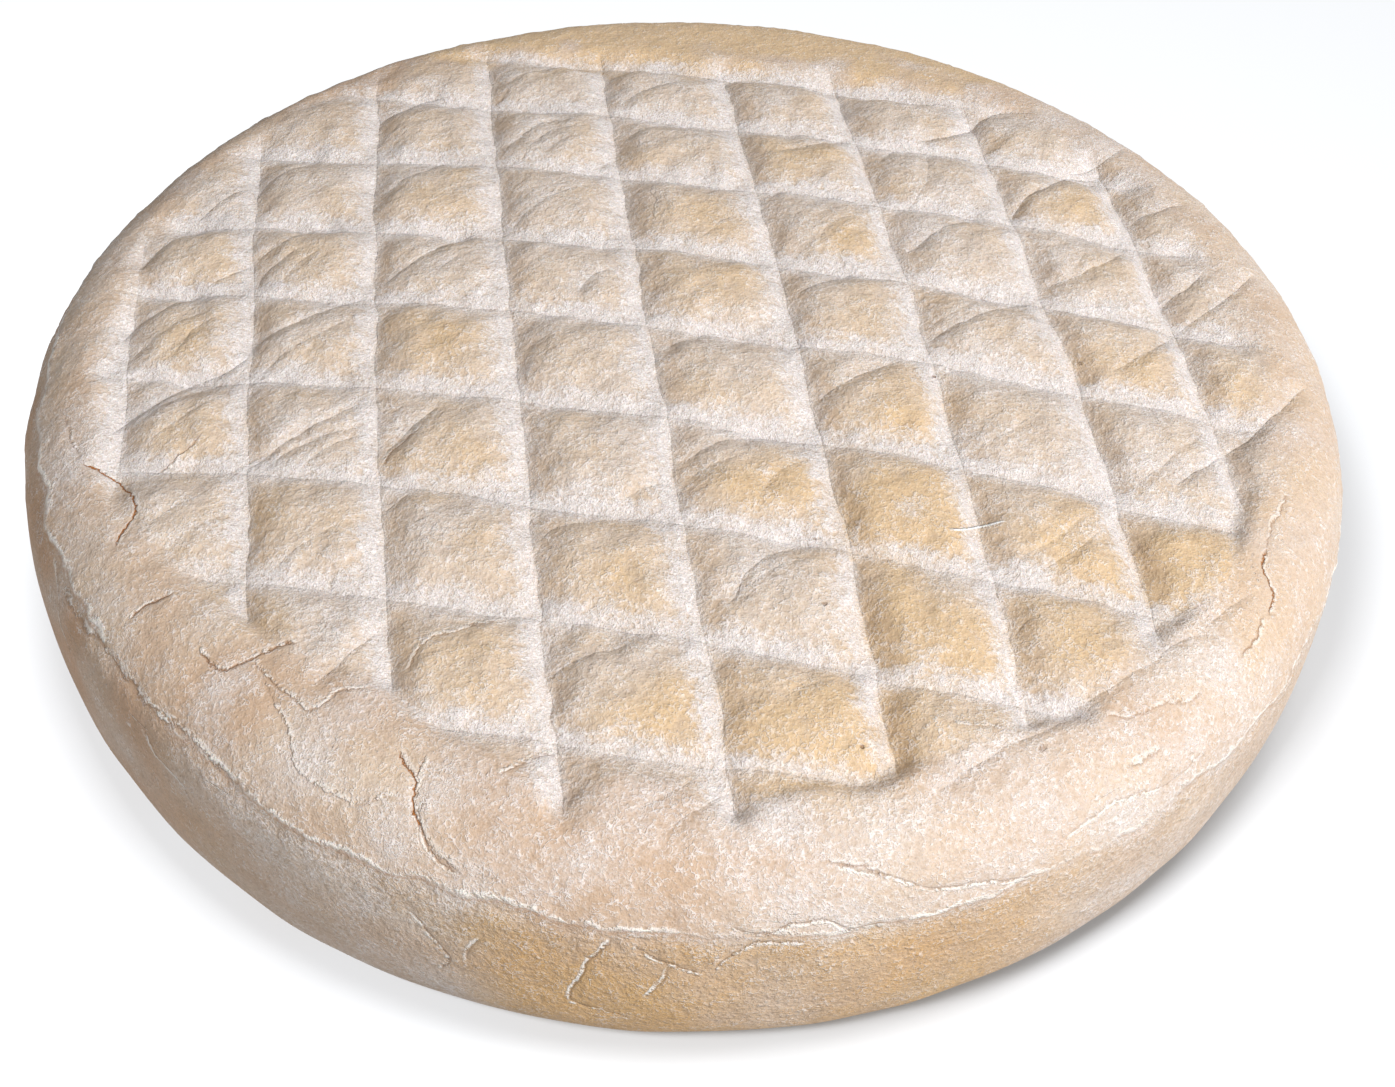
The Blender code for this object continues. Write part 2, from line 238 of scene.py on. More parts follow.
# Cracks and flaking lines of the side: strength, how orange, then turn from the near side (degrees)
# and run along the section (mm)
SIDE_CRACKS = (
    (0.8, 0.4, (-18.7, 115.5), (-17.4, 119), (-16.2, 122.5), (-15.7, 125), (-16.6, 129)),
    (0.6, 0.3, (-13, 118), (-13.9, 121), (-14.3, 124.5)),
    (0.9, 0.3, (-3.4, 113.5), (-4.8, 117.5), (-5.6, 121.5), (-6.8, 129.5), (-4.7, 131.5), (-2.2, 134.5)),
    (0.8, 0.3, (-2.4, 114), (0, 117.5), (2.8, 120.5)),
    (0.6, 0.3, (0.6, 119), (-0.2, 123), (-1.2, 127)),
    (0.8, 0.3, (3.6, 119.5), (5, 115.8), (6.8, 113.7), (10, 114.6)),
    (0.7, 0.4, (4.6, 110), (6.8, 112), (10.6, 110.2), (13.3, 113), (16, 113.3)),
    (0.6, 0.3, (12.3, 102.6), (16, 105.5), (19.5, 108.6), (23, 110), (27.5, 112.6)),
    (0.6, 0.6, (-19.4, 94.5), (-18.8, 99.5), (-17, 105), (-14.6, 107)),
    (0.4, 0.4, (30, 108), (35, 106.5), (40, 109), (44, 108)),
    (0.4, 0.5, (-44, 110), (-42, 113), (-39.5, 114), (-38, 118)),
    (0.35, 0.5, (-62, 104), (-59, 107), (-58, 111), (-55, 113)),
    (0.4, 0.5, (118, 104), (122, 107), (127, 106), (131, 109)),
    (0.4, 0.4, (-124, 109), (-119, 112), (-115, 111.5), (-112, 115)),
    (0.35, 0.4, (168, 110), (172, 113), (174, 118), (172, 122)),
)

# Ochre rind showing through the bloom: x, y, reach and strength of each patch
OCHRE_PATCHES = (
    (73, -49, 10, 1.1), (32, -45, 9, 1.7), (55, -48, 8, 0.7), (54, -62, 8, 0.7), (16, -85, 9, 1.15),
    (25, -82, 9, 1.2), (0, -80, 9, 0.8), (38, -69, 9, 0.9), (-29, -53, 8, 0.15), (29, -64, 8, 0.6),
    (-63, -65, 9, 0.7), (18, 44, 8, 0.7), (26, 21, 6, 0.6), (1, 24, 8, 0.45), (2, 5, 9, 0.5),
    (29, -1, 9, 0.4), (32, -23, 9, 0.7), (64, 34, 8, 0.6), (68, -7, 8, 0.6), (86, -9, 7, 0.6),
    (-39, -10, 8, 0.6), (-76, 13, 9, 0.35), (-78, -8, 8, 0.4), (-73, -32, 7, 0.5), (-48, 52, 8, 0.15),
    (-41, 29, 8, 0.45), (5, -20, 9, 0.05), (-27, -74, 9, 0.5), (-5, -54, 9, 0.4), (16, -40, 7, 0.6),
    (-35, -35, 8, 0.5), (-57, -47, 8, 0.4), (8, -40, 6, 0.5), (-12, -58, 7, 0.3), (75, -55, 7, 0.6),
    (66, -52, 5, 0.6), (-20, 45, 8, 0.1), (-60, 10, 8, 0.35), (-52, -14, 8, 0.25), (60, -70, 7, 0.3),
)

# Thick bloom away from the grooves, bare tan rind, and raised clumps of bloom, given in the same way
BLOOM_PATCHES = (
    (20, -98, 9, 0.25), (60, -82, 12, 0.1), (26, -72, 1.6, 1.0), (-62, 73, 12, -0.2), (45, -12, 7, 0.25),
    (80, 55, 10, 0.1), (5, -93, 8, 0.2), (47, -54, 5, 0.3), (-90, -30, 8, 0.6), (76, -64, 8, 0.3),
    (-52, -60, 8, 0.2), (20, 35, 6, 0.2), (38, 20, 7, 0.2), (64, -30, 7, 0.25),
)
TAN_PATCHES = (
    (-16, -96, 9, 0.9), (-60, -78, 14, 0.5), (2, -100, 8, 0.6), (62, -77, 8, 0.4), (-62, 73, 13, 0.9),
)
CLUMPS = ((25.8, -72.4, 1.4, 0.7), (24.3, -71.2, 1.0, 0.35))

# Smaller relief of the skin, and how its colour ends below
LIP_RISE = 0.26            # height of the lip's ridge
LIP_DIP = 0.2              # and depth of the dip just under it
FLAKE_RISE = 0.1
SLOW_LUMPS = 0.12          # height of the rind's broad lumps, which also sets it back by as much
MAT_PRINT = 0.5            # depth of the mat's print on the foot
TINT_FADE = 22.0           # how far into the foot the tints that follow the turn fade out

# Small brown pits: x, y, reach and depth of colour
PITS = (
    (48.6, -81.9, 0.6, 0.5), (38, -17.5, 0.4, 0.8), (37.5, -15.5, 0.4, 0.8), (62, -11, 0.6, 0.5),
    (60.5, -9, 0.5, 0.5), (20.1, -61.6, 0.5, 0.5), (18.9, -50.6, 0.35, 0.6), (24.8, -84.3, 0.4, 0.9),
)
PIT_NEAR = 3.5             # a point farther from a pit than this isn't given to it
PIT_SEEN = 2.2             # and the pit's colour ends here
NO_PIT = (9.0, 9.0, 0.0)   # what a point beside no pit keeps

# Loose white threads lying on the rind, drawn as the cracks are
THREADS = (
    (1.0, 0.0, (38, -46.6), (39.5, -46.7), (41, -46.6), (42.8, -45.9), (44.3, -45.2), (46, -44.5)),
    (0.5, 0.0, (38, -46.6), (38.1, -46.1), (38.6, -45.9)),
)

CAMERA_BACK = Vector((0.0, -math.cos(CAMERA_ELEVATION), math.sin(CAMERA_ELEVATION)))
CAMERA_PLACE = np.array(Vector(CAMERA_AIM) + CAMERA_BACK * CAMERA_DISTANCE)


def smooth_step(low, high, value):
    """0 below low, 1 above high, and an S curve between them."""
    share = np.clip((value - low) / (high - low), 0.0, 1.0)
    return share * share * (3.0 - 2.0 * share)


def wave_noise(place, size, seed, waves=36):
    """Smooth noise of about -1 to 1: a sum of plane waves of about that size in random directions."""
    draw = np.random.default_rng(seed)
    heading = draw.normal(size=(waves, 3))
    heading /= np.linalg.norm(heading, axis=1, keepdims=True)
    rate = 2.0 * math.pi / (size * draw.uniform(0.7, 1.5, waves))
    start = draw.uniform(0.0, 2.0 * math.pi, waves)
    total = np.zeros(len(place))
    for axis, step, phase in zip(heading, rate, start):
        total += np.cos(place @ axis * step + phase)
    return total / math.sqrt(waves / 2.0) / 1.6


# The turned section and the rings round it


def section():
    """The half section from the middle of the top to the middle of the foot, as radius, height and run.

    The top is a low dome; the shoulder is a quarter superellipse that takes the dome down with it; the side
    below the widest line is another, and the foot is flat. The run is the length along the section.
    """
    steep = np.linspace(math.pi / 2, 0.0, 240)
    flat_start = RADIUS - SHOULDER_REACH
    rise = RIM_HEIGHT - WIDEST_AT
    out = flat_start + SHOULDER_REACH * np.clip(np.cos(steep), 0, 1) ** (2 / SHOULDER_POWER)
    fall = np.sin(steep) ** (2 / SHOULDER_POWER)
    shoulder = np.c_[out, WIDEST_AT + rise * fall + DOME_RISE * (1 - (out / RADIUS) ** 2) * fall ** 2]
    inner = np.linspace(0.0, flat_start, 120)[:-1]
    top = np.c_[inner, RIM_HEIGHT + DOME_RISE * (1 - (inner / RADIUS) ** 2)]
    under = steep[::-1][1:]
    low_out = RADIUS - FOOT_REACH + FOOT_REACH * np.clip(np.cos(under), 0, 1) ** (2 / FOOT_POWER)
    side = np.c_[low_out, WIDEST_AT - WIDEST_AT * np.sin(under) ** (2 / FOOT_POWER)]
    foot = np.c_[np.linspace(RADIUS - FOOT_REACH, 0.0, 60)[1:], np.zeros(59)]
    line = np.vstack([top, shoulder, side, foot])
    run = np.r_[0.0, np.cumsum(np.hypot(*np.diff(line, axis=0).T))]
    return line[:, 0], line[:, 1], run


SECTION_RADIUS, SECTION_HEIGHT, SECTION_RUN = section()
SHOULDER_RUN = float(np.interp(RADIUS - SHOULDER_REACH, SECTION_RADIUS[:119], SECTION_RUN[:119]))
SIDE_START = 112.0
FOOT_EDGE_RUN = float(SECTION_RUN[-1] - (RADIUS - FOOT_REACH))
END_RUN = float(SECTION_RUN[-1])

# Zones of rings: where the zone ends along the section, the step between rings, and the points in a ring
RING_ZONES = (
    (14.5, 0.8, 100), (29.0, 0.8, 200), (58.0, 0.8, 400), (98.0, 0.8, 800), (114.0, 1.0, 800),
    (FOOT_EDGE_RUN + 1.0, 1.35, 800), (FOOT_EDGE_RUN + 48.0, 4.5, 400), (END_RUN - 3.0, 6.0, 200),
)


def ring_plan():
    """The run and the number of points of every ring, from just off the top's middle to the foot's."""
    runs, counts, start = [], [], 0.8
    for end, step, count in RING_ZONES:
        zone = np.arange(start, end - step / 4, step)
        runs.extend(zone)
        counts.extend([count] * len(zone))
        start = zone[-1] + step
    return np.array(runs), np.array(counts)


def ring_faces(counts):
    """Faces between neighbouring rings: squares where both have as many points, and where one has half as
    many, three triangles to each of its steps; fans close the two middles."""
    starts = np.r_[1, 1 + np.cumsum(counts)]
    faces = []
    first = starts[0] + np.arange(counts[0])
    faces += np.c_[np.zeros(counts[0], int), first, np.roll(first, -1)].tolist()
    for ring in range(len(counts) - 1):
        here, there = counts[ring], counts[ring + 1]
        a = starts[ring] + np.arange(here)
        b = starts[ring + 1] + np.arange(there)
        if here == there:
            faces += np.c_[a, b, np.roll(b, -1), np.roll(a, -1)].tolist()
        elif there == 2 * here:
            even, odd = b[0::2], b[1::2]
            faces += np.c_[a, even, odd].tolist()
            faces += np.c_[a, odd, np.roll(a, -1)].tolist()
            faces += np.c_[np.roll(a, -1), odd, np.roll(even, -1)].tolist()
        else:
            even, odd = a[0::2], a[1::2]
            faces += np.c_[even, b, odd].tolist()
            faces += np.c_[odd, b, np.roll(b, -1)].tolist()
            faces += np.c_[odd, np.roll(b, -1), np.roll(even, -1)].tolist()
    last = starts[-2] + np.arange(counts[-1])
    faces += np.c_[np.full(counts[-1], starts[-1]), np.roll(last, -1), last].tolist()
    return faces


def wheel_points():
    """Every point of the smooth wheel: place, outward normal, run along the section and turn round it."""
    runs, counts = ring_plan()
    run = np.r_[0.0, np.repeat(runs, counts), END_RUN]
    turn = np.r_[0.0, np.concatenate([2 * math.pi * np.arange(n) / n for n in counts]), 0.0]
    radius = np.interp(run, SECTION_RUN, SECTION_RADIUS)
    height = np.interp(run, SECTION_RUN, SECTION_HEIGHT)
    along = np.stack([np.interp(run + 0.2, SECTION_RUN, way) - np.interp(run - 0.2, SECTION_RUN, way)
                      for way in (SECTION_RADIUS, SECTION_HEIGHT)], axis=1)
    along /= np.linalg.norm(along, axis=1, keepdims=True)
    across = np.sin(turn), -np.cos(turn)
    place = np.c_[radius * across[0], radius * across[1], height]
    normal = np.c_[-along[:, 1] * across[0], -along[:, 1] * across[1], along[:, 0]]
    return place, normal, run, turn, counts


# The relief


def groove_number(along, across, grooves, rising):
    """Which groove a point lies on, counted in whole numbers at the grooves and evenly between them.

    along is the coordinate that a groove runs along and across the one that it is placed by. Each groove
    is a straight line with a lean and a slight bow. rising is 1 where the grooves are listed from low to
    high and -1 where they are listed from high to low.
    """
    lines = [at + lean * along + bow * along ** 2 for at, lean, bow in grooves]
    number = np.ones(len(along))
    for near, far in zip(lines[:-1], lines[1:]):
        number += np.clip((across - near) / (far - near), 0.0, 1.0)
    number += np.minimum((across - lines[0]) * rising, 0.0) / PITCH
    number += np.maximum((across - lines[-1]) * rising, 0.0) / PITCH
    return number


def off_groove(number):
    """Distance in millimetres from the nearest groove."""
    return np.abs(number - np.round(number)) * PITCH


def near_side_degrees(turn):
    """Turns from the near side as degrees, from -180 on the left to 180 on the right."""
    return np.degrees((turn + math.pi) % (2 * math.pi) - math.pi)


def pressed_share(place, turn):
    """1 where the grid pressed the top, easing to 0 outside: sharply at the near side, softly beyond."""
    turns, reaches = np.array(PRESSED_REACH, float).T
    edge = np.interp(near_side_degrees(turn), turns, reaches)
    out = np.hypot(place[:, 0], place[:, 1]) / edge + 0.015 * wave_noise(place, 14.0, 21)
    soft = 0.04 + 0.035 * smooth_step(-60.0, 20.0, place[:, 1])
    return 1.0 - smooth_step(0.0, 1.0, (out - 1.0 + soft) / soft)


def flank(distance, reach):
    """A groove's section: sharp at its bottom, with flanks that ease into the pillow as a parabola."""
    soft = np.sqrt(distance ** 2 + FLANK_ROUND_OFF ** 2) - FLANK_ROUND_OFF
    return np.clip(1.0 - soft / reach, 0.0, 1.0) ** 2


def as_seen(place, depth):
    """Where a point that lies so deep is seen on the smooth wheel, which is where the drawings were read."""
    sight = place - CAMERA_PLACE
    return place[:, :2] + sight[:, :2] / sight[:, 2:] * np.reshape(depth, (-1, 1))


def smooth_curve(points):
    """A smooth line through the given points, every third of a millimetre (Catmull-Rom)."""
    knots = np.array(points, float)
    knots = np.vstack([2 * knots[0] - knots[1], knots, 2 * knots[-1] - knots[-2]])
    pieces = []
    for p0, p1, p2, p3 in zip(knots[:-3], knots[1:-2], knots[2:-1], knots[3:]):
        steps = max(2, int(np.linalg.norm(p2 - p1) / 0.3))
        t = np.linspace(0, 1, steps, endpoint=False)[:, None]
        pieces.append(0.5 * (2 * p1 + (p2 - p0) * t + (2 * p0 - 5 * p1 + 4 * p2 - p3) * t ** 2
                             + (3 * p1 - p0 - 3 * p2 + p3) * t ** 3))
    return np.vstack([*pieces, knots[-2:-1]])


def beside_curve(flat, curve, reach):
    """Points within reach of a curve: their numbers, signed distances, and distances to its nearer end.

    The distance is signed by the cross product of the curve's heading and the step to the point, so it is
    positive on the left of the curve.
    """
    low, high = curve.min(0) - reach, curve.max(0) + reach
    near = np.flatnonzero(np.all((flat > low) & (flat < high), axis=1))
    gap = flat[near][:, None, :] - curve[None, :, :]
    distance = np.linalg.norm(gap, axis=2)
    nearest = distance.argmin(1)
    heading = np.gradient(curve, axis=0)
    heading /= np.linalg.norm(heading, axis=1, keepdims=True)
    step = gap[np.arange(len(near)), nearest]
    side = heading[nearest, 0] * step[:, 1] - heading[nearest, 1] * step[:, 0]
    length = np.r_[0, np.cumsum(np.linalg.norm(np.diff(curve, axis=0), axis=1))]
    beyond = (heading[nearest] * step).sum(1)
    along = length[nearest] + beyond
    to_end = np.minimum(along, length[-1] - along)
    close = (np.abs(side) < reach) & (distance[np.arange(len(near)), nearest] < reach * 1.3)
    return near[close], side[close], to_end[close]


class LineChannels:
    """Signed distances to drawn lines, shared out so that lines close together never share a channel.

    A signed distance keeps a line sharp between the points of the mesh, as it is zero on the line itself.
    """

    def __init__(self, count, channels, reach):
        self.reach = reach
        self.values = np.zeros((channels, count, 3), np.float32)
        self.values[:, :, 0] = reach
        self.taken = np.zeros((channels, count), bool)

    def add(self, flat, points, weight, hue, fade):
        """Draws one line in the channel where the fewest points near it are taken, fading at its ends."""
        near, side, to_end = beside_curve(flat, smooth_curve(points), self.reach)
        overlap = self.taken[:, near].sum(1)
        channel = int(overlap.argmin())
        free = ~self.taken[channel, near]
        share = weight * smooth_step(0.0, fade, to_end)
        share = share * (1 - smooth_step(0.5, 0.72, np.abs(side) / self.reach))
        kept = near[free]
        self.values[channel, kept] = np.c_[side, share, np.full(len(side), hue)][free]
        self.taken[channel, kept] = True
        return near, side, share


def drawn_lines(seen, place, run, turn):
    """Relief and bloom of the folds and cracks, and the channels that keep them sharp in the material.

    A fold is the edge of a pillow: the rind comes down to it from its right and goes on lower on its left,
    each side easing off as an exponential. It is drawn where it is seen, so its own depth counts as well.
    """
    wobble = np.c_[wave_noise(place, 5.0, 31), wave_noise(place, 5.0, 32)] * 0.16
    flat = np.where((run < SHOULDER_RUN + 24)[:, None], seen, OUT_OF_REACH) + wobble
    shift = as_seen(place, 1.0) - place[:, :2]
    degrees = near_side_degrees(turn)
    band = np.c_[np.radians(degrees) * RADIUS, np.where(run > FOOT_EDGE_RUN, OUT_OF_REACH, run)] + wobble
    folds = LineChannels(len(place), 4, 2.6)
    cracks = LineChannels(len(place), 3, 2.0)
    threads = LineChannels(len(place), 1, 2.0)
    relief, bloom = np.zeros(len(place)), np.zeros(len(place))
    for depth, *points in FOLDS:
        sunk = flat + shift * (depth * FOLD_DEPTH * FOLD_SUNK + FOLD_BOTTOM)
        folds.add(sunk, points, depth, 0.0, 2.5)
        near, side, to_end = beside_curve(sunk, smooth_curve(points), FOLD_SPREAD)
        ease = depth * smooth_step(-1.0, 4.0, to_end)
        right = np.exp(-np.abs(side) / FOLD_RIGHT)
        left = 0.72 * np.exp(-np.abs(side) / FOLD_LEFT) + 0.28 * np.exp(-np.abs(side) / 0.8)
        relief[near] -= FOLD_DEPTH * ease * np.where(side < 0, right, left)
        bloom[near] += 0.3 * ease * np.where(side < 0, 0.0, np.exp(-np.abs(side) / 3.0))
    side_cracks = [(strength, hue, *[(math.radians(at) * RADIUS, down) for at, down in points])
                   for strength, hue, *points in SIDE_CRACKS]
    for where, drawn in ((flat, CRACKS), (band, side_cracks)):
        for strength, hue, *points in drawn:
            near, side, share = cracks.add(where, points, strength, hue, 1.2)
            relief[near] -= 0.2 * share * np.exp(-(side / 0.5) ** 2)
    for strength, hue, *points in THREADS:
        threads.add(flat, points, strength, hue, 0.5)
    return relief, bloom, folds.values, cracks.values, threads.values[0]


def pit_places(seen, on_top):
    """Where each point lies beside the nearest pit, in the pit's own reach, and how dark that pit is."""
    found = np.tile(NO_PIT, (len(seen), 1))
    for x, y, reach, strength in PITS:
        gap = seen - (x, y)
        away = np.hypot(*gap.T)
        near = (away < PIT_NEAR) & on_top
        found[near] = np.c_[gap[near] / reach, strength * (away[near] < PIT_SEEN)]
    return found


def lip_offset(run, turn, place):
    """How far below the lip a point lies along the section, and how strong the lip is there."""
    turns, heights = np.array(LIP_HEIGHTS, float).T
    degrees = near_side_degrees(turn)
    outside = SECTION_RUN > SHOULDER_RUN
    outside &= SECTION_RUN < FOOT_EDGE_RUN
    lip_run = np.interp(-np.interp(degrees, turns, heights), -SECTION_HEIGHT[outside], SECTION_RUN[outside])
    ragged = 0.7 * wave_noise(place * (1, 1, 0.2), 9.0, 41) + 0.25 * wave_noise(place * (1, 1, 0.2), 3.0, 42)
    strength = 0.8 + 0.4 * wave_noise(place * (1, 1, 0.2), 30.0, 43)
    return run - lip_run + ragged, np.clip(strength, 0.3, 1.0)


def patches(drawn, place):
    """Soft round patches added up; each has its place, reach and strength."""
    total = np.zeros(len(place))
    for x, y, reach, strength in drawn:
        total += strength * np.exp(-((place[:, 0] - x) ** 2 + (place[:, 1] - y) ** 2) / reach ** 2)
    return total * (place[:, 2] > WIDEST_AT)


def foot_share(run):
    """0 above the foot's edge and 1 on the foot."""
    return smooth_step(FOOT_EDGE_RUN - 2.0, FOOT_EDGE_RUN + 1.0, run)


def grid_numbers(place):
    """Where each point lies in the grid, counted in grooves of each set, with a slow and a fine sway."""
    sway = np.c_[wave_noise(place, 22.0, 11), wave_noise(place, 22.0, 12)] * 0.3
    sway += np.c_[wave_noise(place, 5.0, 17), wave_noise(place, 5.0, 18)] * 0.16
    x, y = (as_seen(place, GROOVE_DEPTH * GROOVE_SUNK) + sway).T
    return groove_number(y, x, LENGTHWISE, 1), groove_number(x, y, CROSSWISE, -1)


def groove_relief(place, lengthwise, crosswise, pressed):
    """The grooves' depth: the flanks of both sets, joined as 1 - (1 - a)(1 - b) so that a crossing isn't
    twice as deep, times the depth with a slow noise and the share of the grid that reaches there."""
    deep = 1.0 + 0.2 * wave_noise(place, 26.0, 13)
    valley = 1 - (1 - flank(off_groove(lengthwise), LENGTHWISE_FLANK)) * (
        1 - CROSSWISE_SHARE * flank(off_groove(crosswise), CROSSWISE_FLANK))
    return -pressed * GROOVE_DEPTH * deep * valley


def skin_relief(place, run, pressed, below, lip):
    """The lip as a bell curve with a dip under it, flakes where a noise is high, lumps of three sizes,
    clumps of bloom, and the mat's print: lines pressed into the foot where either of two sine waves is zero.
    """
    above_foot = 1 - foot_share(run)
    relief = above_foot * lip * (
        LIP_RISE * np.exp(-(below / 0.9) ** 2) - LIP_DIP * np.exp(-((below - 1.5) / 0.8) ** 2))
    flakes = smooth_step(0.55, 1.0, wave_noise(place * (1, 1, 0.6), 3.5, 44))
    relief += FLAKE_RISE * flakes * smooth_step(-14, -2, below) * smooth_step(14, 4, below) * above_foot
    lumpy = SLOW_LUMPS * wave_noise(place, 16.0, 14)
    lumpy += (0.06 + 0.09 * pressed) * wave_noise(place, 5.0, 15) * (run < SIDE_START)
    lumpy += 0.05 * wave_noise(place, 2.2, 16) * (run < SIDE_START)
    relief += patches(CLUMPS, place) + (lumpy - SLOW_LUMPS) * above_foot
    mat = np.abs(np.sin(math.pi * place[:, 0] / PITCH) * np.sin(math.pi * place[:, 1] / PITCH))
    relief -= foot_share(run) * (run > FOOT_EDGE_RUN + 9) * MAT_PRINT * np.exp(-mat * 9)
    return relief


def rind_tints(place, run, turn, pressed, below, lip, line_bloom):
    """How ochre, tan and bloomed the rind is, and how far a point belongs to the side.

    Each is an even share with slow noise and soft patches. Round the side and shoulder they also follow the
    turn: ochre at the front and behind, tan on the left. Those shares would meet in a point under the
    wheel, so they fade out on the foot.
    """
    above_foot = run < FOOT_EDGE_RUN
    side_share = smooth_step(-1.0, 4.0, below) * above_foot + (1 - above_foot)
    far_rim = smooth_step(72.0, 84.0, place[:, 1] + 5 * wave_noise(place, 11.0, 52)) * (1 - side_share)
    shoulder_share = (1 - pressed) * (1 - side_share)
    degrees = near_side_degrees(turn)
    by_turn = smooth_step(FOOT_EDGE_RUN + TINT_FADE, FOOT_EDGE_RUN, run)

    front = smooth_step(-19.0, -8.0, degrees) * smooth_step(38.0, 20.0, degrees)
    behind = 0.7 * smooth_step(135.0, 165.0, np.abs(degrees))
    side_ochre = 0.08 + 0.82 * (front + behind) * smooth_step(-1.5, 3.0, below) * by_turn
    side_ochre += 0.2 * wave_noise(place, 34.0, 55)
    ochre = 0.25 + 0.15 * wave_noise(place, 12.0, 51) + 0.95 * far_rim
    ochre += patches(OCHRE_PATCHES, place) * np.maximum(pressed, 0.4 * shoulder_share)
    ochre = np.clip(ochre * (1 - side_share) + side_ochre * side_share, 0.0, 1.2)

    leftward = smooth_step(10.0, 75.0, -degrees) * smooth_step(-175.0, -130.0, degrees) * by_turn
    tan = (0.4 + 0.2 * leftward) * shoulder_share + patches(TAN_PATCHES, place) * (1 - side_share)
    tan *= 1 - far_rim
    flaky = smooth_step(-50.0, -36.0, degrees) * smooth_step(-9.0, -17.0, degrees)
    flaky *= smooth_step(-1.0, 1.0, below) * smooth_step(16.0, 6.0, below)
    tan += (0.2 + 0.8 * leftward * smooth_step(-130.0, -65.0, degrees) - 0.35 * flaky) * side_share
    tan = np.clip(tan * (1 + 0.5 * wave_noise(place, 15.0, 56)), 0.0, 1.0)

    bloom = 0.1 + 0.14 * wave_noise(place, 9.0, 54) + patches(BLOOM_PATCHES, place) * (1 - side_share)
    bloom += 0.13 * shoulder_share * (1 - far_rim) * (1 + 0.6 * wave_noise(place, 14.0, 53)) + line_bloom
    bloom -= 0.22 * smooth_step(66.0, 90.0, place[:, 0]) * (1 - pressed) + 0.3 * far_rim
    bloom -= 0.14 * leftward * (1 - pressed)
    bloom = np.clip(np.maximum(bloom, 0.3 * lip * np.exp(-(below / 0.8) ** 2)), 0.0, 1.0)
    return ochre, tan, bloom, side_share


def build_wheel():
    """The whole rind as one closed mesh, with what the material reads stored at its points.

    Every point of the smooth wheel moves along its normal by the sum of the reliefs, and none goes below
    the flat foot.
    """
    place, normal, run, turn, counts = wheel_points()
    pressed = pressed_share(place, turn) * (run < FOOT_EDGE_RUN)
    lengthwise, crosswise = grid_numbers(place)
    relief = groove_relief(place, lengthwise, crosswise, pressed)
    line_relief, line_bloom, folds, cracks, thread = drawn_lines(as_seen(place, -relief), place, run, turn)
    below, lip = lip_offset(run, turn, place)
    relief += line_relief * (run < FOOT_EDGE_RUN) + skin_relief(place, run, pressed, below, lip)
    shaped = place + normal * relief[:, None]
    shaped[:, 2] = np.maximum(shaped[:, 2], 0.0)
    ochre, tan, bloom, side_share = rind_tints(place, run, turn, pressed, below, lip, line_bloom)

    mesh = bpy.data.meshes.new("rind")
    mesh.from_pydata((shaped * MM).tolist(), [], ring_faces(counts))
    mesh.update()
    mesh.shade_smooth()
    store(mesh, "grid", np.c_[lengthwise, crosswise, pressed])
    store(mesh, "tint", np.c_[ochre, bloom, side_share])
    store(mesh, "lip", np.c_[below, lip, tan])
    for number, values in enumerate(folds, 1):
        store(mesh, f"fold{number}", values)
    for number, values in enumerate(cracks, 1):
        store(mesh, f"crack{number}", values)
    store(mesh, "thread", thread)
    store(mesh, "pit", pit_places(as_seen(place, -relief), run < SIDE_START))
    lay_out(mesh, run, turn)
    rind = bpy.data.objects.new("rind", mesh)
    bpy.context.scene.collection.objects.link(rind)
    return rind


def store(mesh, name, values):
    """Keeps three numbers at every point of a mesh under a name."""
    layer = mesh.attributes.new(name, "FLOAT_VECTOR", "POINT")
    layer.data.foreach_set("vector", np.ascontiguousarray(values, np.float32).ravel())


def lay_out(mesh, run, turn):
    """A map without stretch for the whole rind: the top with its shoulder as one disc, the foot as a
    smaller disc, and the side as two strips, each of half a turn."""
    count = len(mesh.loops)
    corner = np.empty(count, np.int32)
    mesh.loops.foreach_get("vertex_index", corner)
    sizes = np.empty(len(mesh.polygons), np.int32)
    mesh.polygons.foreach_get("loop_total", sizes)
    face = np.repeat(np.arange(len(sizes)), sizes)
    face_run = np.bincount(face, run[corner]) / sizes
    middle = np.arctan2(np.bincount(face, np.sin(turn[corner])), np.bincount(face, np.cos(turn[corner])))
    side_start, side_end = SIDE_START + 1.0, FOOT_EDGE_RUN + 1.0

    here_run, here_turn = run[corner], turn[corner]
    disc = 0.37 * here_run / side_start
    u = 0.375 + disc * np.sin(here_turn)
    v = 0.625 - disc * np.cos(here_turn)

    is_foot = face_run[face] > side_end
    small = 0.12 * (END_RUN - here_run) / (END_RUN - side_end)
    u = np.where(is_foot, 0.872 + small * np.sin(here_turn), u)
    v = np.where(is_foot, 0.87 + small * np.cos(here_turn), v)

    is_side = (face_run[face] > side_start) & ~is_foot
    unwound = middle[face] + (here_turn - middle[face] + math.pi) % (2 * math.pi) - math.pi
    row = middle[face] >= 0
    across = np.where(row, unwound, unwound + math.pi) / math.pi
    down = (here_run - side_start) / (side_end - side_start)
    u = np.where(is_side, 0.01 + 0.98 * across, u)
    v = np.where(is_side, 0.112 - 0.105 * down + 0.115 * row, v)
    layer = mesh.uv_layers.new(name="OFBake")
    layer.data.foreach_set("uv", np.c_[u, v].astype(np.float32).ravel())


# Shader maths written as expressions


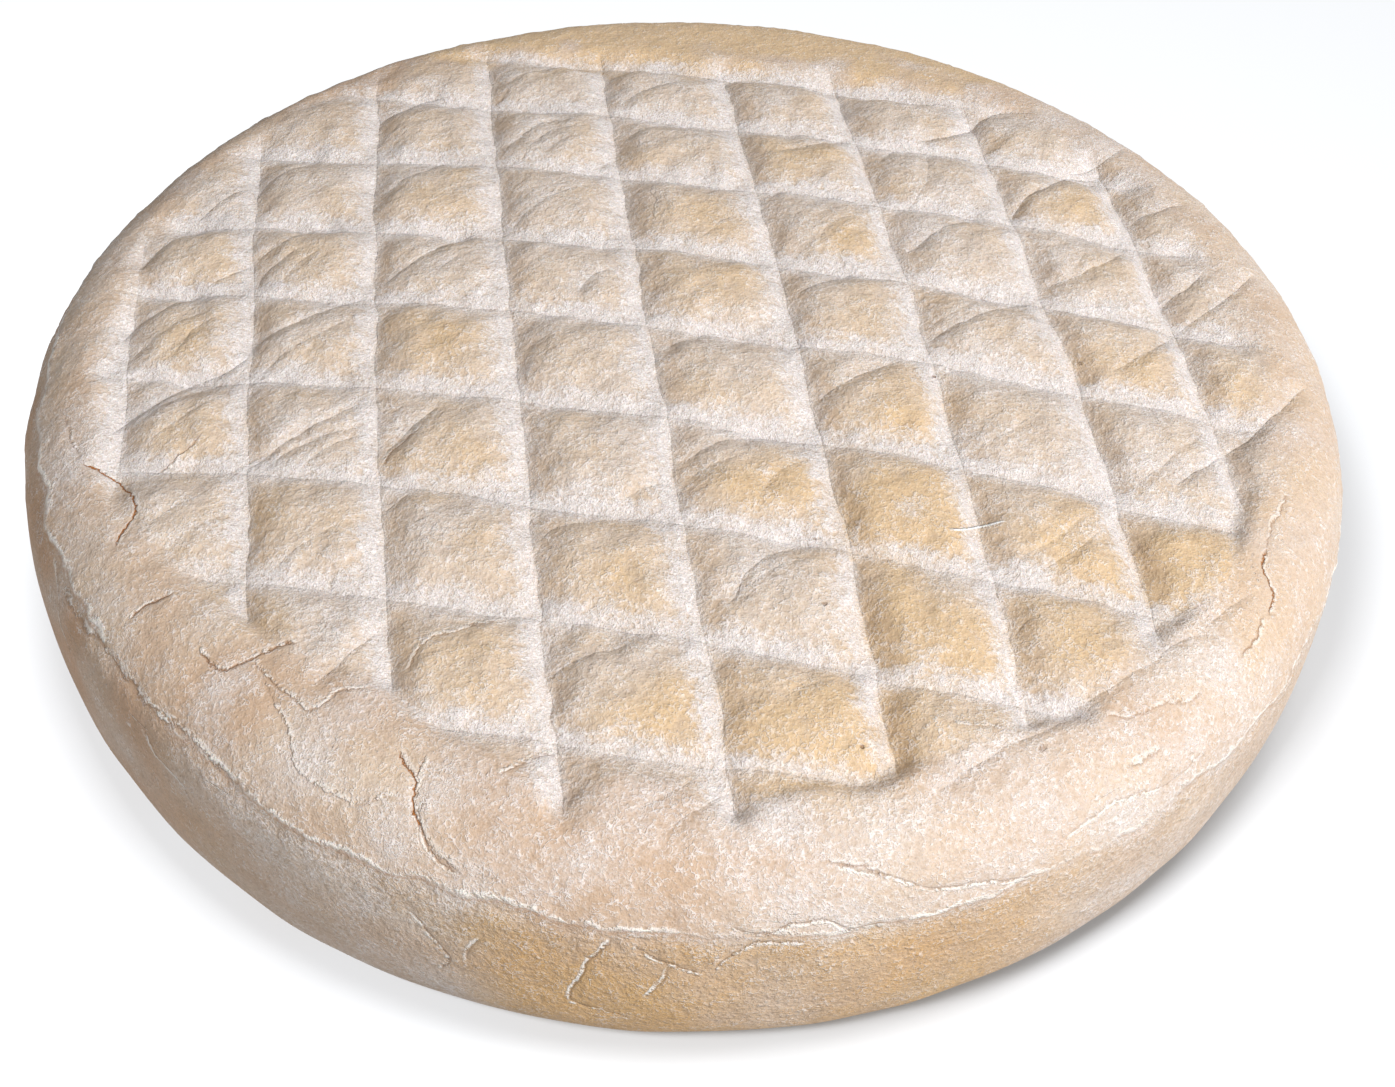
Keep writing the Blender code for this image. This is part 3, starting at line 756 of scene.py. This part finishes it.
class Wire:
    """One output of a node; arithmetic on it adds the Math nodes."""

    def __init__(self, bench, socket):
        self.bench = bench
        self.socket = socket

    def maths(self, operation, *values):
        return self.bench.node("ShaderNodeMath", {"operation": operation}, values)

    def __add__(self, other):
        return self.maths("ADD", self, other)

    __radd__ = __add__

    def __mul__(self, other):
        return self.maths("MULTIPLY", self, other)

    __rmul__ = __mul__

    def __sub__(self, other):
        return self.maths("SUBTRACT", self, other)

    def __rsub__(self, other):
        return self.maths("SUBTRACT", other, self)

    def __truediv__(self, other):
        return self.maths("DIVIDE", self, other)

    def __pow__(self, other):
        return self.maths("POWER", self, other)

    def __abs__(self):
        return self.maths("ABSOLUTE", self)

    def part(self):
        return self.maths("FRACT", self)

    def power_of_e(self):
        return self.maths("EXPONENT", self)

    def most(self, other):
        return self.maths("MAXIMUM", self, other)

    def held(self):
        """Clamped to 0..1."""
        return self.bench.node("ShaderNodeClamp", {}, {"Value": self})

    def ramp(self, low, high):
        """0 at low, 1 at high, an S curve between."""
        settings = {"interpolation_type": "SMOOTHSTEP", "clamp": True}
        limits = {"Value": self, "From Min": low, "From Max": high}
        return self.bench.node("ShaderNodeMapRange", settings, limits)

    def parts(self):
        split = self.bench.node("ShaderNodeSeparateXYZ", {}, {"Vector": self}, whole=True)
        return [Wire(self.bench, output) for output in split.outputs]


class Bench:
    """A material's node tree, and the one way that nodes are added to it."""

    def __init__(self, name):
        self.material = bpy.data.materials.new(name)
        self.material.use_nodes = True
        self.tree = self.material.node_tree
        self.shader = self.tree.nodes["Principled BSDF"]

    def node(self, kind, settings, inputs, output=0, whole=False):
        made = self.tree.nodes.new(kind)
        for key, value in settings.items():
            setattr(made, key, value)
        pairs = inputs.items() if isinstance(inputs, dict) else enumerate(inputs)
        for key, value in pairs:
            self.feed(made.inputs[key], value)
        return made if whole else Wire(self, made.outputs[output])

    def feed(self, socket, value):
        if isinstance(value, Wire):
            self.tree.links.new(value.socket, socket)
        else:
            socket.default_value = value

    def stored(self, name):
        """The three numbers kept at the mesh's points under a name."""
        found = self.node("ShaderNodeAttribute", {"attribute_name": name}, {}, whole=True)
        return Wire(self, found.outputs["Vector"])

    def mix(self, share, first, second, blend="MIX"):
        """One colour into another by a share."""
        made = self.node("ShaderNodeMix", {"data_type": "RGBA", "blend_type": blend}, {0: share}, whole=True)
        self.feed(made.inputs[6], first)
        self.feed(made.inputs[7], second)
        return Wire(self, made.outputs[2])

    def noise(self, where, size, detail=2.0, rough=0.5):
        """Noise around 0.5 whose lumps are about so many millimetres across."""
        return self.node("ShaderNodeTexNoise", {}, {
            "Vector": where, "Scale": 1.0 / size, "Detail": detail, "Roughness": rough})

    def curls(self, where, size, width):
        """Thin curling threads: the middle line of a noise."""
        return 1 - abs(self.noise(where, size, 1.0, 0.4) - 0.5).ramp(width * 0.3, width)


def colour(red, green, blue):
    """A screen colour of 0 to 255 as a linear one."""
    linear = [((c / 255 + 0.055) / 1.055) ** 2.4 if c > 10 else c / 255 / 12.92 for c in (red, green, blue)]
    return (*linear, 1.0)


# Colours of the rind
BEIGE = colour(219, 203, 189)
TOP_OCHRE = colour(221, 191, 152)
SIDE_OCHRE = colour(215, 174, 116)
TOP_TAN = colour(206, 177, 151)
SIDE_TAN = colour(200, 162, 131)
SIDE_BROWN = colour(176, 150, 122)
# painted shade for the bump's hollows
HOLLOW_SHADE = colour(188, 165, 144)
# painted shade for the grooves' right flanks
GROOVE_FLANK_SHADE = colour(190, 160, 130)
BLOOM = colour(225, 216, 212)
BLOOM_THREADS = colour(251, 246, 245)
PORES = colour(176, 152, 130)
FINE_PORES = colour(150, 126, 104)
# white of raised edges, partly a painted highlight
WHITE_EDGE_AND_HIGHLIGHT = colour(248, 240, 232)
# painted shadow under the lip
LIP_SHADOW_BROWN = colour(176, 128, 90)
# brown of the crack lines, partly a painted shadow beside the flaking lines
CRACK_BROWN_AND_SHADOW = colour(150, 118, 90)
ORANGE_CRACK = colour(178, 112, 56)
PIT_BROWN = colour(140, 98, 62)
LOOSE_THREAD = colour(254, 252, 250)


def rind_material():
    """Dry natural rind: beige with ochre on the crowns, white bloom in the grooves, orange cracks."""
    bench = Bench("natural rind")
    metres = bench.node("ShaderNodeTexCoord", {}, {}, whole=True)
    spot = bench.node("ShaderNodeVectorMath", {"operation": "SCALE"}, {
        0: Wire(bench, metres.outputs["Object"]), "Scale": 1.0 / MM})
    lengthwise, crosswise, pressed = bench.stored("grid").parts()
    ochre, bloom, side = bench.stored("tint").parts()
    lip_gap, lip, tan = bench.stored("lip").parts()

    # Noise from broad to fine, and the distances to the nearest groove of each set
    broad = bench.noise(spot, 7.0, 3.0)
    patchy = bench.noise(spot, 2.6, 3.0, 0.6)
    fine = bench.noise(spot, 0.75, 2.0, 0.6)
    grain = bench.noise(spot, 0.3, 1.0, 0.6)
    beyond_long = ((lengthwise + 0.5).part() - 0.5) * PITCH
    beyond_cross = ((crosswise + 0.5).part() - 0.5) * PITCH

    # Bare rind: beige, ochre and tan, with painted shade in the bump's hollows and on the grooves' right
    # flanks
    ochre_share = (ochre * 0.95 + (broad - 0.5) * 0.9 + (patchy - 0.5) * 1.1).held()
    bare = bench.mix(side, TOP_OCHRE, SIDE_OCHRE)
    skin = bench.mix(ochre_share, BEIGE, bare)
    skin = bench.mix(tan, skin, bench.mix(side, TOP_TAN, SIDE_TAN))
    # Painted shade: darker where the patchy noise sinks, which is where it also lowers the bump
    skin = bench.mix((0.54 - patchy).ramp(0.0, 0.26) * 0.22, skin, HOLLOW_SHADE)
    # Painted shade: the right flank of each lengthwise groove faces away from the key light and is darkened
    # here
    shaded = (1 - abs(beyond_long - 2.0).ramp(0.5, 2.6)) * pressed * 0.3
    skin = bench.mix(shaded, skin, GROOVE_FLANK_SHADE)
    skin = bench.mix(side * (1 - bench.noise(spot, 9.0).ramp(0.3, 0.65)) * 0.3, skin, SIDE_BROWN)

    # Bloom: powder in and beside the grooves, and curling threads where it is thick
    hairy = (patchy - 0.5) * 3.2 + (fine - 0.5) * 2.2
    off_long = beyond_long + 1.0 + hairy
    off_cross = (beyond_cross + 0.9 + hairy) / 2.15
    off_long = (off_long / -2.3).most(off_long / 1.2)
    dust_long = (off_long * off_long * -1.0).power_of_e() * 0.95
    dust_cross = (off_cross * off_cross * -1.0).power_of_e() * 0.9
    dust = bloom + dust_long.most(dust_cross) * pressed
    powder = dust - ochre * 0.3 - tan * side * 0.3 + 0.05 + (patchy - 0.5) * (pressed * 1.15 + 0.45)
    powder = (powder + (fine - 0.5) * 0.7 + (broad - 0.5) * 0.75).held() * 0.95
    skin = bench.mix(powder, skin, BLOOM)
    under_lip = (1 - abs(lip_gap - 2.5).ramp(0.5, 3.5)) * lip
    open_to_frost = dust * 0.22 - ochre * 0.03 - tan * (side * 0.08 + 0.04) + under_lip * 0.08
    curls = bench.curls(spot, 0.85, 0.055) * (patchy - 0.40 + open_to_frost).ramp(0.0, 0.22)
    small_curls = bench.curls(spot, 0.5, 0.08) * (fine - 0.46 + open_to_frost).ramp(0.0, 0.2) * 0.8
    frost = curls.most(small_curls)
    skin = bench.mix((frost * (0.58 - ochre * 0.1)).held(), skin, BLOOM_THREADS)
    skin = bench.mix((0.52 - fine).ramp(0.0, 0.3) * (side * 0.25 + 0.4), skin, PORES)
    skin = bench.mix((0.5 - grain).ramp(0.0, 0.3) * (side * 0.2 + 0.35), skin, FINE_PORES)

    # Folds, cracks with raised edges, and the lip
    fold_cut = 0.0
    for number in range(1, 5):
        gap, depth, _ = bench.stored(f"fold{number}").parts()
        fold_cut = (abs(gap) / -0.34).power_of_e() * depth + fold_cut
    crack_line, crack_cut, crack_edge_and_highlight, crack_hue = 0.0, 0.0, 0.0, 0.0
    broken = (broad + fine - 0.85).ramp(0.0, 0.2)
    for number in range(1, 4):
        gap, depth, hue = bench.stored(f"crack{number}").parts()
        gap = gap + (fine - 0.5) * 1.0 + (patchy - 0.5) * 1.1
        line = (1 - abs(gap).ramp(0.02, 0.25)) * depth * (hue * 0.8 + 0.15)
        crack_line = line + crack_line
        crack_hue = line * hue + crack_hue
        # White raised edge beside each crack: partly white rind, partly a painted highlight on its raised
        # side
        crack_edge_and_highlight = (1 - abs(gap - 0.42).ramp(0.1, 0.36)) * depth.ramp(0.0, 0.5) * broken * (
            1.5 - hue * 0.9) + crack_edge_and_highlight
        crack_cut = (abs(gap) / -0.2).power_of_e() * depth + crack_cut
    lip_gap = lip_gap + (fine - 0.5) * 1.2 + (patchy - 0.5) * 1.6
    lip_here = (lip + (broad - 0.5) * 1.4).held()
    lip_line = (1 - abs(lip_gap).ramp(0.15, 0.55)) * lip_here * (broken * 0.8 + 0.2)
    # Painted shadow: a brown line just under the lip's ridge
    lip_shade = (1 - abs(lip_gap - 0.8).ramp(0.05, 0.4)) * lip_here
    # White of the crack edges, partly a painted highlight, and the white bloom line along the lip
    skin = bench.mix((crack_edge_and_highlight * 0.75 + lip_line).held(), skin, WHITE_EDGE_AND_HIGHLIGHT)
    skin = bench.mix((lip_shade * 0.35).held(), skin, LIP_SHADOW_BROWN)
    # Crack lines: orange where cracks open; brown on low-hue flaking lines, a painted shadow of the flake's
    # step
    crack_colour = bench.mix(crack_hue.held(), CRACK_BROWN_AND_SHADOW, ORANGE_CRACK)
    skin = bench.mix((crack_line * 1.1).held(), skin, crack_colour)

    # Pits and the loose thread
    pit_right, pit_far, pit_depth = bench.stored("pit").parts()
    from_pit = (pit_right * pit_right + pit_far * pit_far) ** 0.5 + (grain - 0.5) * 0.8
    pit = (1 - from_pit.ramp(0.4, 1.1)) * pit_depth
    skin = bench.mix(pit * 0.8, skin, PIT_BROWN)
    thread_gap, thread, _ = bench.stored("thread").parts()
    thread = (1 - abs(thread_gap + (grain - 0.5) * 0.3).ramp(0.1, 0.3)) * thread
    skin = bench.mix(thread, skin, LOOSE_THREAD)

    # Relief that is finer than the mesh
    groove_cut = (abs(beyond_long) / -0.35).power_of_e() + (abs(beyond_cross) / -0.35).power_of_e()
    groove_cut = groove_cut * pressed
    height = (patchy - 0.5) * (pressed * 0.24 + side * 0.2 + 0.32) + (fine - 0.5) * (side * 0.17 + 0.13)
    height = height + (grain - 0.5) * 0.08 + frost * 0.07 + lip_line * 0.15 + thread * 0.25 - pit * 0.3
    height = height - groove_cut * 0.18 - fold_cut * 0.15 - crack_cut * 0.25 + crack_edge_and_highlight * 0.1
    bump = bench.node("ShaderNodeBump", {}, {"Strength": 1.0, "Distance": MM, "Height": height})

    bench.feed(bench.shader.inputs["Base Color"], skin)
    bench.feed(bench.shader.inputs["Roughness"], 0.72 + powder * 0.18)
    bench.feed(bench.shader.inputs["Normal"], bump)
    bench.shader.inputs["Subsurface Weight"].default_value = 0.12
    bench.shader.inputs["Subsurface Radius"].default_value = (1.0, 0.7, 0.45)
    bench.shader.inputs["Subsurface Scale"].default_value = 0.0012
    bench.shader.inputs["Specular IOR Level"].default_value = 0.3
    return bench.material


# Floor, light and camera, in metres

FLOOR_SIZE = 12.0          # metres from side to side
FLOOR_LEVEL = -0.0002      # just under the foot, so that the two faces don't meet
LIGHTS_AIM = (0.0, 0.0, 0.03)


def floor():
    """A plain pale floor that reads as white."""
    side, level = FLOOR_SIZE / 2, FLOOR_LEVEL
    corners = [(-side, -side, level), (side, -side, level), (side, side, level), (-side, side, level)]
    mesh = bpy.data.meshes.new("floor")
    mesh.from_pydata(corners, [], [(0, 1, 2, 3)])
    obj = bpy.data.objects.new("floor", mesh)
    bpy.context.scene.collection.objects.link(obj)
    bench = Bench("pale floor")
    bench.shader.inputs["Base Color"].default_value = (0.49, 0.5, 0.515, 1.0)
    bench.shader.inputs["Emission Color"].default_value = (1.0, 1.0, 1.0, 1.0)
    bench.shader.inputs["Emission Strength"].default_value = 0.16
    bench.shader.inputs["Roughness"].default_value = 0.9
    bench.shader.inputs["Specular IOR Level"].default_value = 0.0
    mesh.materials.append(bench.material)
    obj.visible_diffuse = False
    return obj


def soft_light(name, towards, distance, size, power, lit):
    """A square soft light that stands in a direction from the wheel and lights only the given pieces."""
    lamp = bpy.data.lights.new(name, "AREA")
    lamp.shape = "SQUARE"
    lamp.size = size
    lamp.energy = power
    lamp.color = (1.0, 1.0, 1.0)
    obj = bpy.data.objects.new(name, lamp)
    away = Vector(towards).normalized()
    stand = Matrix.Translation(Vector(LIGHTS_AIM) + away * distance)
    obj.matrix_world = stand @ away.to_track_quat("Z", "Y").to_matrix().to_4x4()
    bpy.context.scene.collection.objects.link(obj)
    receivers = bpy.data.collections.new(name + " lights")
    for piece in lit:
        receivers.objects.link(piece)
    obj.light_linking.receiver_collection = receivers


def camera():
    """The camera of the photograph: its place, turn, roll and field of view."""
    data = bpy.data.cameras.new("camera")
    data.sensor_width = SENSOR_WIDTH
    data.lens = SENSOR_WIDTH * FOCAL_PIXELS / PHOTO_WIDTH
    data.clip_start = 0.01
    obj = bpy.data.objects.new("camera", data)
    back = CAMERA_BACK
    right = Vector((1.0, 0.0, 0.0))
    up = back.cross(right)
    rolled_right = math.cos(CAMERA_ROLL) * right + math.sin(CAMERA_ROLL) * up
    rolled_up = back.cross(rolled_right)
    turn = Matrix((rolled_right, rolled_up, back)).transposed().to_4x4()
    obj.matrix_world = Matrix.Translation(Vector(CAMERA_PLACE) * MM) @ turn
    bpy.context.scene.collection.objects.link(obj)
    bpy.context.scene.camera = obj


def studio(rind, ground):
    """Even white surroundings, a soft key from the front right, a low fill from the front, and two lights
    for the floor alone: one overhead, which leaves a soft shadow close round the wheel, and a lower one from
    the front left."""
    world = bpy.data.worlds.new("studio")
    world.use_nodes = True
    world.node_tree.nodes["Background"].inputs["Color"].default_value = (1.0, 1.0, 1.0, 1.0)
    world.node_tree.nodes["Background"].inputs["Strength"].default_value = 0.33
    bpy.context.scene.world = world
    soft_light("key", (0.78, -0.56, 0.75), 2.4, 0.5, 62.5, [rind])
    soft_light("low front light", (-0.35, -1.0, 0.2), 1.8, 0.75, 5.6, [rind])
    soft_light("floor light", (0.12, -0.15, 1.0), 1.2, 0.36, 12.0, [ground])
    soft_light("low floor light", (-0.42, -0.65, 1.0), 1.2, 0.26, 16.0, [ground])
    bpy.context.scene.view_settings.view_transform = "Standard"


rind = build_wheel()
rind.data.materials.append(rind_material())
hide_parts("wheel")
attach(rind, "root")
ground = floor()
studio(rind, ground)
camera()
